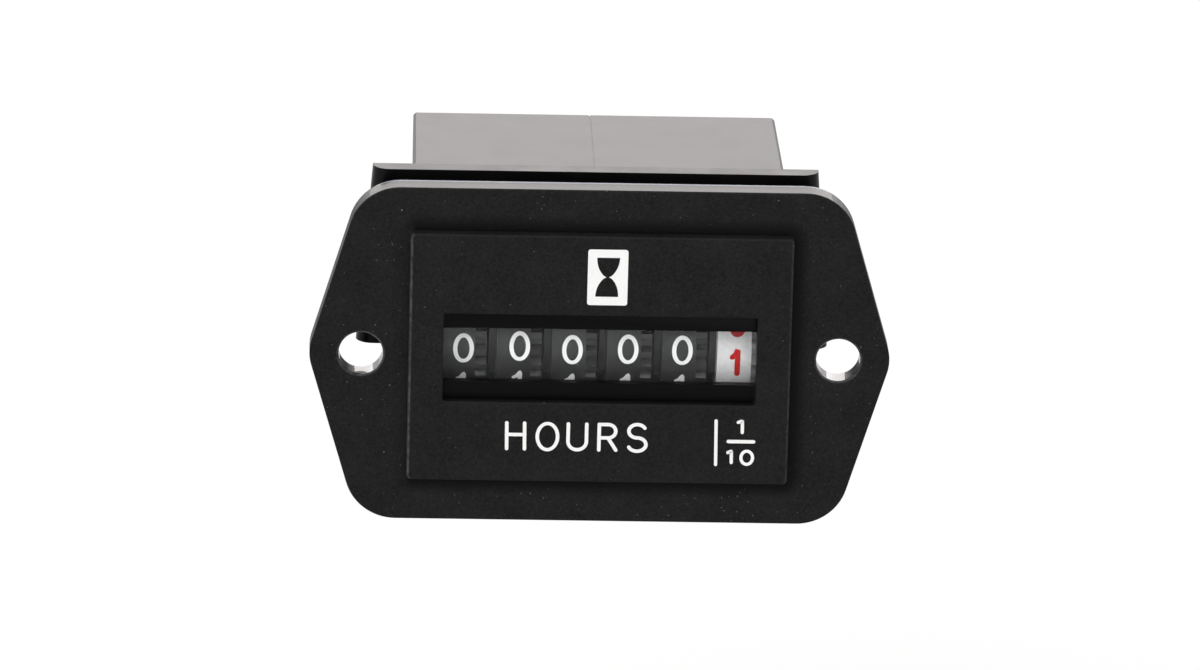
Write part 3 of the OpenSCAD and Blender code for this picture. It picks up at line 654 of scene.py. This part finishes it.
def buildBezel(look):
    rim = rimOutline(look)
    pad = boxOutline(look["padW"] / 2, look["padH"] / 2, look["padCorner"])
    window = boxOutline(look["windowW"] / 2, look["windowH"] / 2, look["windowCorner"])
    slot = boxOutline(look["windowW"] / 2, look["slotH"] / 2, look["windowCorner"])
    seatW, seatH = lensHigh[0] + look["seatPlay"], lensHigh[2] + look["seatPlay"]
    seat = boxOutline(seatW, seatH, look["windowCorner"])
    holes = [circleOutline(side * look["holeSpacing"] / 2, 0, look["holeR"]) for side in (-1, 1)]
    face, front, lensFront = -look["flangeT"], bezelLow[1], lensLow[1]
    sill = front + look["sill"]
    lip, bite = look["windowR"], look["holeEdge"]
    blocks = [
        rimWall(rim, look), padWall(pad, front, look), padBand(pad, look),
        dict(sweep(window, quarter(lip, front, 0, front + lip, True) + [[0, sill, 0]]), edge=0.0),
        # The slot walls carry painted shade.
        dict(sweep(slot, [[0, sill, 0], [0, lensFront, 0]]), paintedShade=1.0, smooth=1.0),
        sweep(seat, [[0, lensFront, 0], [0, 0, 0]])]
    for hole in holes:
        rows = quarter(bite, face, 0, face + bite, True) + quarter(0, -bite, bite, 0, False)
        bore = smoothBetween(sweep(hole, rows), face + bite / 2, -bite / 2)
        blocks.append(dict(bore, gloss=bore["smooth"]))
    mouths = [hole[0] + hole[1] * bite for hole in holes]
    rimFront, rimBack = rim[0] - rim[1] * look["edgeR"], rim[0] - rim[1] * look["backR"]
    padOuter, padTop = pad[0] + pad[1] * look["shade"][0][0], pad[0] - pad[1] * look["padR"]
    blocks.append(flatFill([rimFront, padOuter, *mouths], face, True))
    blocks.append(flatFill([padTop, window[0] + window[1] * lip], front, True))
    # The window sill carries painted shade.
    blocks.append(dict(flatFill([window[0], slot[0]], sill, True), paintedShade=1.0, smooth=1.0))
    blocks.append(flatFill([seat[0], slot[0]], lensFront, False))
    blocks.append(flatFill([rimBack, seat[0], *mouths], 0, False))
    return blocks + buildTongues(look)


bezelPlastic = materials["bezel_plastic"]
bezel = makePiece("bezel_moulding", buildBezel(bezelLook), bezelPlastic, "base")
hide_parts("front_bezel")
work = bmesh.new()
work.from_mesh(bezel.data)
bmesh.ops.recalc_face_normals(work, faces=work.faces)
work.to_mesh(bezel.data)
work.free()
bezel.data.shade_smooth()
bezel.data.set_sharp_from_angle(angle=math.radians(bezelLook["sharpAngle"]))
flats = bezel.modifiers.new("flats", "WEIGHTED_NORMAL")
flats.keep_sharp = True
print("bezel built,", len(bezel.data.polygons), "faces")


# Painted strokes

# Points at even steps along a path of straight or curved pieces.
def evenPath(points, step):
    points = np.asarray(points, float)
    along = np.concatenate(([0], np.cumsum(np.linalg.norm(np.diff(points, axis=0), axis=1))))
    count = max(2, int(math.ceil(along[-1] / step)) + 1)
    at = np.linspace(0, along[-1], count)
    return np.stack((np.interp(at, along, points[:, 0]), np.interp(at, along, points[:, 1])), 1)


# Arc of an ellipse between two angles in degrees.
def arc(x, y, rx, ry, start, end, count=40):
    angle = np.radians(np.linspace(start, end, count))
    return np.stack((x + rx * np.cos(angle), y + ry * np.sin(angle)), 1)


def ring(x, y, rx, ry, count=60):
    return arc(x, y, rx, ry, 0, 360, count + 1)[:-1]


# Share of a ribbon's half width that is flat, and steps round its open ends
ribbonFlat = 0.86
capSteps = 6


# Ribbon of paint along a path: half width w, raised by lift, edges sunk by sink. Open ends are
# half circles: the path runs on by w sin t while the half width shrinks to w cos t.
def paintRibbon(path, w, lift, sink, closed=False):
    if closed:
        tangent = np.roll(path, -1, 0) - np.roll(path, 1, 0)
        width = np.full(len(path), w)
    else:
        t = np.linspace(0, math.pi / 2, capSteps + 1)[1:, None]
        head = path[0] - path[1]
        tail = path[-1] - path[-2]
        head = head / np.linalg.norm(head)
        tail = tail / np.linalg.norm(tail)
        startCap = (path[0] + head * w * np.sin(t))[::-1]
        endCap = path[-1] + tail * w * np.sin(t)
        cap = (w * np.cos(t))[:, 0]
        width = np.concatenate((cap[::-1], np.full(len(path), w), cap))
        path = np.vstack((startCap, path, endCap))
        tangent = np.gradient(path, axis=0)
    tangent = tangent / np.linalg.norm(tangent, axis=1, keepdims=True)
    normal = np.stack((-tangent[:, 1], tangent[:, 0]), 1)
    across = np.array([1.0, ribbonFlat, -ribbonFlat, -1.0])
    height = np.array([-sink, lift, lift, -sink])
    flat = path[:, None, :] + normal[:, None, :] * (width[:, None, None] * across[None, :, None])
    points = np.dstack((flat, np.broadcast_to(height, flat.shape[:2])))
    faces = gridFaces(len(path), len(across), closedRows=closed, closedColumns=True)
    return points.reshape(-1, 3), faces


# The ten numerals in a cell one wide and one tall, each as (path, closed) strokes.
def numeralStrokes():
    six = [(ring(0, -0.2, 0.48, 0.3), True), (arc(0.42, -0.2, 0.9, 0.7, 105, 180), False)]
    return {
        0: [(ring(0, 0, 0.5, 0.5), True)],
        1: [([(-0.3, 0.22), (-0.12, 0.3), (0.06, 0.5), (0.06, -0.5)], False)],
        2: [(np.vstack((arc(0, 0.2, 0.46, 0.3, 170, -35), [(-0.48, -0.5), (0.5, -0.5)])), False)],
        3: [(arc(-0.02, 0.25, 0.42, 0.25, 150, -90), False),
            (arc(-0.02, -0.25, 0.48, 0.25, 90, -150), False)],
        4: [([(0.2, -0.5), (0.2, 0.5), (-0.5, -0.2), (0.5, -0.2)], False)],
        5: [(np.vstack(([(0.42, 0.5), (-0.36, 0.5), (-0.42, 0.02)],
                        arc(0, -0.17, 0.47, 0.33, 140, -150))), False)],
        6: six,
        7: [([(-0.48, 0.5), (0.48, 0.5), (-0.12, -0.5)], False)],
        8: [(ring(0, 0.26, 0.4, 0.24), True), (ring(0, -0.23, 0.48, 0.27), True)],
        9: [(-path, closed) for path, closed in six],
    }


# Strokes scaled to a cell and set on the wheel: across runs along the axle, up runs round the rim.
def wheelNumerals(look, place):
    blocks = []
    numerals = numeralStrokes()
    for digit, strokes in numerals.items():
        around = math.radians(360 / len(numerals) * digit - place["advance"])
        for layer, (path, closed) in enumerate(strokes):
            lift = look["lift"] + layer * look["layer"]
            scaled = np.asarray(path, float) * np.array([look["wide"], look["tall"]])
            if not closed:
                scaled = evenPath(scaled, look["step"])
            points, faces = paintRibbon(scaled, look["stroke"], lift, look["sink"], closed)
            angle = points[:, 1] / look["radius"] - around + place["tilt"]
            radius = look["radius"] + points[:, 2]
            blocks.append({
                "points": np.stack((place["x"] + points[:, 0], look["axisY"] - radius * np.cos(angle),
                                    radius * np.sin(angle)), 1), "faces": faces})
    return blocks


numeralPaint = {"lift": 0.012, "layer": 0.003, "sink": 0.03, "step": 0.12, "radius": 7.4, "axisY": 8.0}
whiteNumerals = dict(numeralPaint, wide=1.76, tall=2.93, stroke=0.25, paint=paintWhite, slot="wheel_dark")
# The first wheel's numerals use the white with painted shade.
paintedShadeNumerals = dict(whiteNumerals, paint=whiteWithPaintedShade)
redNumerals = dict(numeralPaint, wide=1.5, tall=2.95, stroke=0.33, paint=paintRed, slot="wheel_light")
# Where the print of each wheel sits: across in millimetres, turn past nought in degrees, tilt in radians
wheelPrint = {
    "ten_thousands": {"look": paintedShadeNumerals, "x": -14.43, "advance": 0.0, "tilt": -0.05},
    "thousands": {"look": whiteNumerals, "x": -8.44, "advance": 0.0, "tilt": -0.007},
    "hundreds": {"look": whiteNumerals, "x": -2.81, "advance": 0.0, "tilt": -0.052},
    "tens": {"look": whiteNumerals, "x": 3.13, "advance": 0.0, "tilt": -0.033},
    "units": {"look": whiteNumerals, "x": 8.92, "advance": 0.0, "tilt": -0.036},
    "tenths": {"look": redNumerals, "x": 14.75, "advance": 24.0, "tilt": 0.0},
}
for wheel, place in wheelPrint.items():
    look = place["look"]
    makePiece("numerals_" + wheel, wheelNumerals(look, place), look["paint"], wheel + "_wheel")
print("numerals painted on", len(wheelPrint), "wheels")


# Printed face: word, fraction and hourglass sign

facePrint = {"depth": -3.8, "lift": 0.02, "sink": 0.03, "stroke": 0.21, "thin": 0.19, "step": 0.1,
             "layer": 0.003, "place": (-0.28, 0.11)}


# A stroke drawn in X and Z on the pad.
def onFace(path, width, layer, closed=False):
    path = np.asarray(path, float) + np.array(facePrint["place"])
    if not closed:
        path = evenPath(path, facePrint["step"])
    lift = facePrint["lift"] + layer * facePrint["layer"]
    points, faces = paintRibbon(path, width, lift, facePrint["sink"], closed)
    depth = facePrint["depth"] - points[:, 2]
    return {"points": np.stack((points[:, 0], depth, points[:, 1]), 1), "faces": faces}


# Word and fraction: open strokes each lie a thin layer above the one before.
def buildWords():
    w, thin = facePrint["stroke"], facePrint["thin"]
    letterH = ([(-9.46, -7.33), (-9.42, -10.2)], [(-7.56, -7.33), (-7.52, -10.2)],
               [(-9.44, -8.62), (-7.54, -8.62)])
    letterO = ring(-5.1, -8.8, 1.08, 1.47, 72)
    letterU = np.vstack(([(-2.9, -7.35)], arc(-1.92, -9.3, 0.98, 0.93, 180, 360), [(-0.94, -7.35)]))
    bowl = np.vstack(([(0.4, -7.35)], arc(1.38, -8.1, 0.78, 0.75, 90, -90), [(0.4, -8.85)]))
    letterR = ([(0.4, -10.2), (0.4, -7.35)], bowl, [(1.35, -8.85), (2.2, -10.2)])
    letterS = np.vstack((arc(4.46, -8.05, 0.9, 0.75, 30, 270), arc(4.46, -9.55, 0.95, 0.75, 90, -155)))
    bar = [(12.82, -6.75), (12.9, -11.65)]
    line = [(14.2, -9.05), (16.85, -9.05)]
    upperOne = [(15.2, -6.88), (15.62, -6.72), (15.64, -8.0)]
    lowerOne = [(14.18, -10.3), (14.54, -10.12), (14.56, -11.4)]
    nought = ring(16.2, -10.86, 0.62, 0.74)
    strokes = [(path, w) for path in (*letterH, letterU, *letterR, letterS)]
    strokes += [(bar, thin), (line, w), (upperOne, thin), (lowerOne, thin)]
    blocks = [onFace(path, width, layer) for layer, (path, width) in enumerate(strokes)]
    return blocks + [onFace(letterO, w, 0, True), onFace(nought, thin, 0, True)]


# White plate of the sign, with a small bevel round its front.
def buildPlate(look):
    points, normals = boxOutline(look["halfW"], look["halfH"], look["corner"], look["steps"])
    front = facePrint["depth"] - facePrint["lift"]
    outline = (points + np.array([look["x"], look["z"]]), normals)
    side = sweep(outline, [[0, facePrint["depth"] + facePrint["sink"], 0], [-look["bevel"], front, 0]])
    return [side, flatFill([outline[0] - normals * look["bevel"]], front, True)]


# Hourglass: at a share s of the way from the neck to an end, the half width is
# neck + (bulb - neck) (s (2 - s)) ^ power.
def buildHourglass(look):
    v = np.linspace(-1, 1, look["rows"])[:, None]
    u = np.array([-1.0, -look["flat"], 0.0, look["flat"], 1.0])
    share = np.abs(v)
    half = look["neck"] + (look["bulb"] - look["neck"]) * (share * (2 - share)) ** look["power"]
    x = look["x"] + look["lean"] * v + half * u
    z = np.broadcast_to(look["z"] + look["tall"] * v, x.shape)
    lifted = facePrint["depth"] - facePrint["lift"] * look["layers"]
    y = np.broadcast_to(np.where(np.abs(u) == 1, facePrint["depth"], lifted), x.shape)
    return [{"points": np.stack((x, y, z), -1).reshape(-1, 3), "faces": gridFaces(*x.shape, flip=True)}]


plateLook = {"x": 0.6, "z": 9.23, "halfW": 2.15, "halfH": 3.12, "corner": 0.3, "bevel": 0.03,
             "steps": 8}
signLook = {"x": 0.59, "z": 9.26, "neck": 0.11, "bulb": 1.25, "tall": 2.17, "lean": 0.06, "power": 0.66,
            "rows": 61, "flat": 0.94, "layers": 1.8}
makePiece("face_words", buildWords(), paintWhite, "base")
makePiece("sign_plate", buildPlate(plateLook), paintWhite, "base")
makePiece("sign_hourglass", buildHourglass(signLook), bezelPlastic, "base")
print("face printed")


# Camera, from the photograph's viewing angle

cameraLook = {"azimuth": -2.0, "elevation": 18.5, "roll": 1.5, "distance": 1.0, "pixelsWide": 1200,
              "focalPixels": 9409.0, "target": (0.0, -0.0028, 0.0), "shiftRight": -0.00003,
              "shiftUp": -0.002339, "sensor": 36.0, "clip": (0.01, 20.0)}


# Unit direction from the object towards an azimuth and elevation, in radians.
def directionTo(azimuth, elevation):
    flat = math.cos(elevation)
    return Vector((math.sin(azimuth) * flat, -math.cos(azimuth) * flat, math.sin(elevation)))


def buildCamera(look):
    azimuth, elevation, roll = (math.radians(look[k]) for k in ("azimuth", "elevation", "roll"))
    away = directionTo(azimuth, elevation)
    right = Vector((math.cos(azimuth), math.sin(azimuth), 0))
    up = right.cross(-away)
    turnedRight = math.cos(roll) * right + math.sin(roll) * up
    turnedUp = -math.sin(roll) * right + math.cos(roll) * up
    place = Vector(look["target"]) + look["distance"] * away
    place -= look["shiftRight"] * turnedRight + look["shiftUp"] * turnedUp
    data = bpy.data.cameras.new("photoCamera")
    data.sensor_fit = "HORIZONTAL"
    data.sensor_width = look["sensor"]
    data.lens = look["focalPixels"] / look["pixelsWide"] * look["sensor"]
    data.clip_start, data.clip_end = look["clip"]
    camera = bpy.data.objects.new("photoCamera", data)
    axes = Matrix((turnedRight, turnedUp, away)).transposed()
    camera.matrix_world = Matrix.Translation(place) @ axes.to_4x4()
    bpy.context.scene.collection.objects.link(camera)
    bpy.context.scene.camera = camera


buildCamera(cameraLook)


# Light, floor and backdrop

lightLook = {
    "backSoft": {"azimuth": 180.0, "elevation": 27.0, "distance": 0.7, "wide": 1.1, "tall": 0.5,
                 "radiance": 3.4, "tint": (1.0, 0.95, 0.935)},
    "frontSoft": {"azimuth": -38.0, "elevation": 46.0, "distance": 0.9, "wide": 0.4, "tall": 0.4,
                  "radiance": 6.4},
    "frontFill": {"azimuth": 8.0, "elevation": 28.0, "distance": 0.9, "wide": 0.6, "tall": 0.5,
                  "radiance": 2.5},
    "leftSoft": {"azimuth": -80.0, "elevation": 20.0, "distance": 0.8, "wide": 0.4, "tall": 0.6,
                 "radiance": 1.2},
    "rightSoft": {"azimuth": 80.0, "elevation": 20.0, "distance": 0.8, "wide": 0.4, "tall": 0.6,
                  "radiance": 1.2},
}
floorLook = {"below": 0.05, "half": 3.0, "rows": 3, "colour": (0.86, 0.86, 0.86), "rough": 0.9,
             "plainShare": 0.85}
worldLook = {"ambient": 0.3}


# A soft lamp at an azimuth and elevation, facing the object; power is radiance times area times pi.
def buildLamp(name, look):
    away = directionTo(math.radians(look["azimuth"]), math.radians(look["elevation"]))
    data = bpy.data.lights.new(name, "AREA")
    data.shape = "RECTANGLE"
    data.size = look["wide"]
    data.size_y = look["tall"]
    data.color = look.get("tint", (1.0, 1.0, 1.0))
    data.energy = look["radiance"] * look["wide"] * look["tall"] * math.pi
    lamp = bpy.data.objects.new(name, data)
    lamp.location = away * look["distance"]
    lamp.rotation_mode = "QUATERNION"
    lamp.rotation_quaternion = away.to_track_quat("Z", "Y")
    bpy.context.scene.collection.objects.link(lamp)


for lampName, look in lightLook.items():
    buildLamp(lampName, look)


# Rays that the eye, glass or a glossy face sends see the plain white share.
def seenRays(tree, place):
    path = addNode(tree, "ShaderNodeLightPath", place)
    first = mathNode(tree, (place[0] + 200, place[1]), "MAXIMUM",
                     path.outputs["Is Camera Ray"], path.outputs["Is Glossy Ray"])
    return mathNode(tree, (place[0] + 400, place[1]), "MAXIMUM", first, path.outputs["Is Transmission Ray"])


def buildFloor(look):
    side = np.linspace(-look["half"], look["half"], look["rows"])
    x, y = np.meshgrid(side, side)
    z = np.full_like(x, cadLow.z - look["below"])
    mesh = bpy.data.meshes.new("floor")
    mesh.from_pydata(np.stack((x, y, z), -1).reshape(-1, 3).tolist(), [], gridFaces(*x.shape).tolist())
    floor = bpy.data.objects.new("floor", mesh)
    bpy.context.scene.collection.objects.link(floor)
    material, tree, shader = newMaterial("floorPale")
    shader.inputs["Base Color"].default_value = (*look["colour"], 1.0)
    shader.inputs["Roughness"].default_value = look["rough"]
    plain = addNode(tree, "ShaderNodeEmission", (0, -300))
    share = mathNode(tree, (0, 300), "MULTIPLY", seenRays(tree, (-700, 300)), look["plainShare"])
    mixSurface(tree, share, shader.outputs["BSDF"], plain.outputs["Emission"])
    mesh.materials.append(material)


def buildWorld(look):
    world = bpy.data.worlds.new("studio")
    world.use_nodes = True
    tree = world.node_tree
    background = tree.nodes["Background"]
    background.inputs["Color"].default_value = (1.0, 1.0, 1.0, 1.0)
    strength = mapRange(tree, (-200, 0), seenRays(tree, (-800, 0)), 0.0, 1.0, look["ambient"], 1.0)
    tree.links.new(strength, background.inputs["Strength"])
    bpy.context.scene.world = world


buildFloor(floorLook)
buildWorld(worldLook)
bpy.context.scene.view_settings.view_transform = "Standard"
print("camera, lamps and floor set")
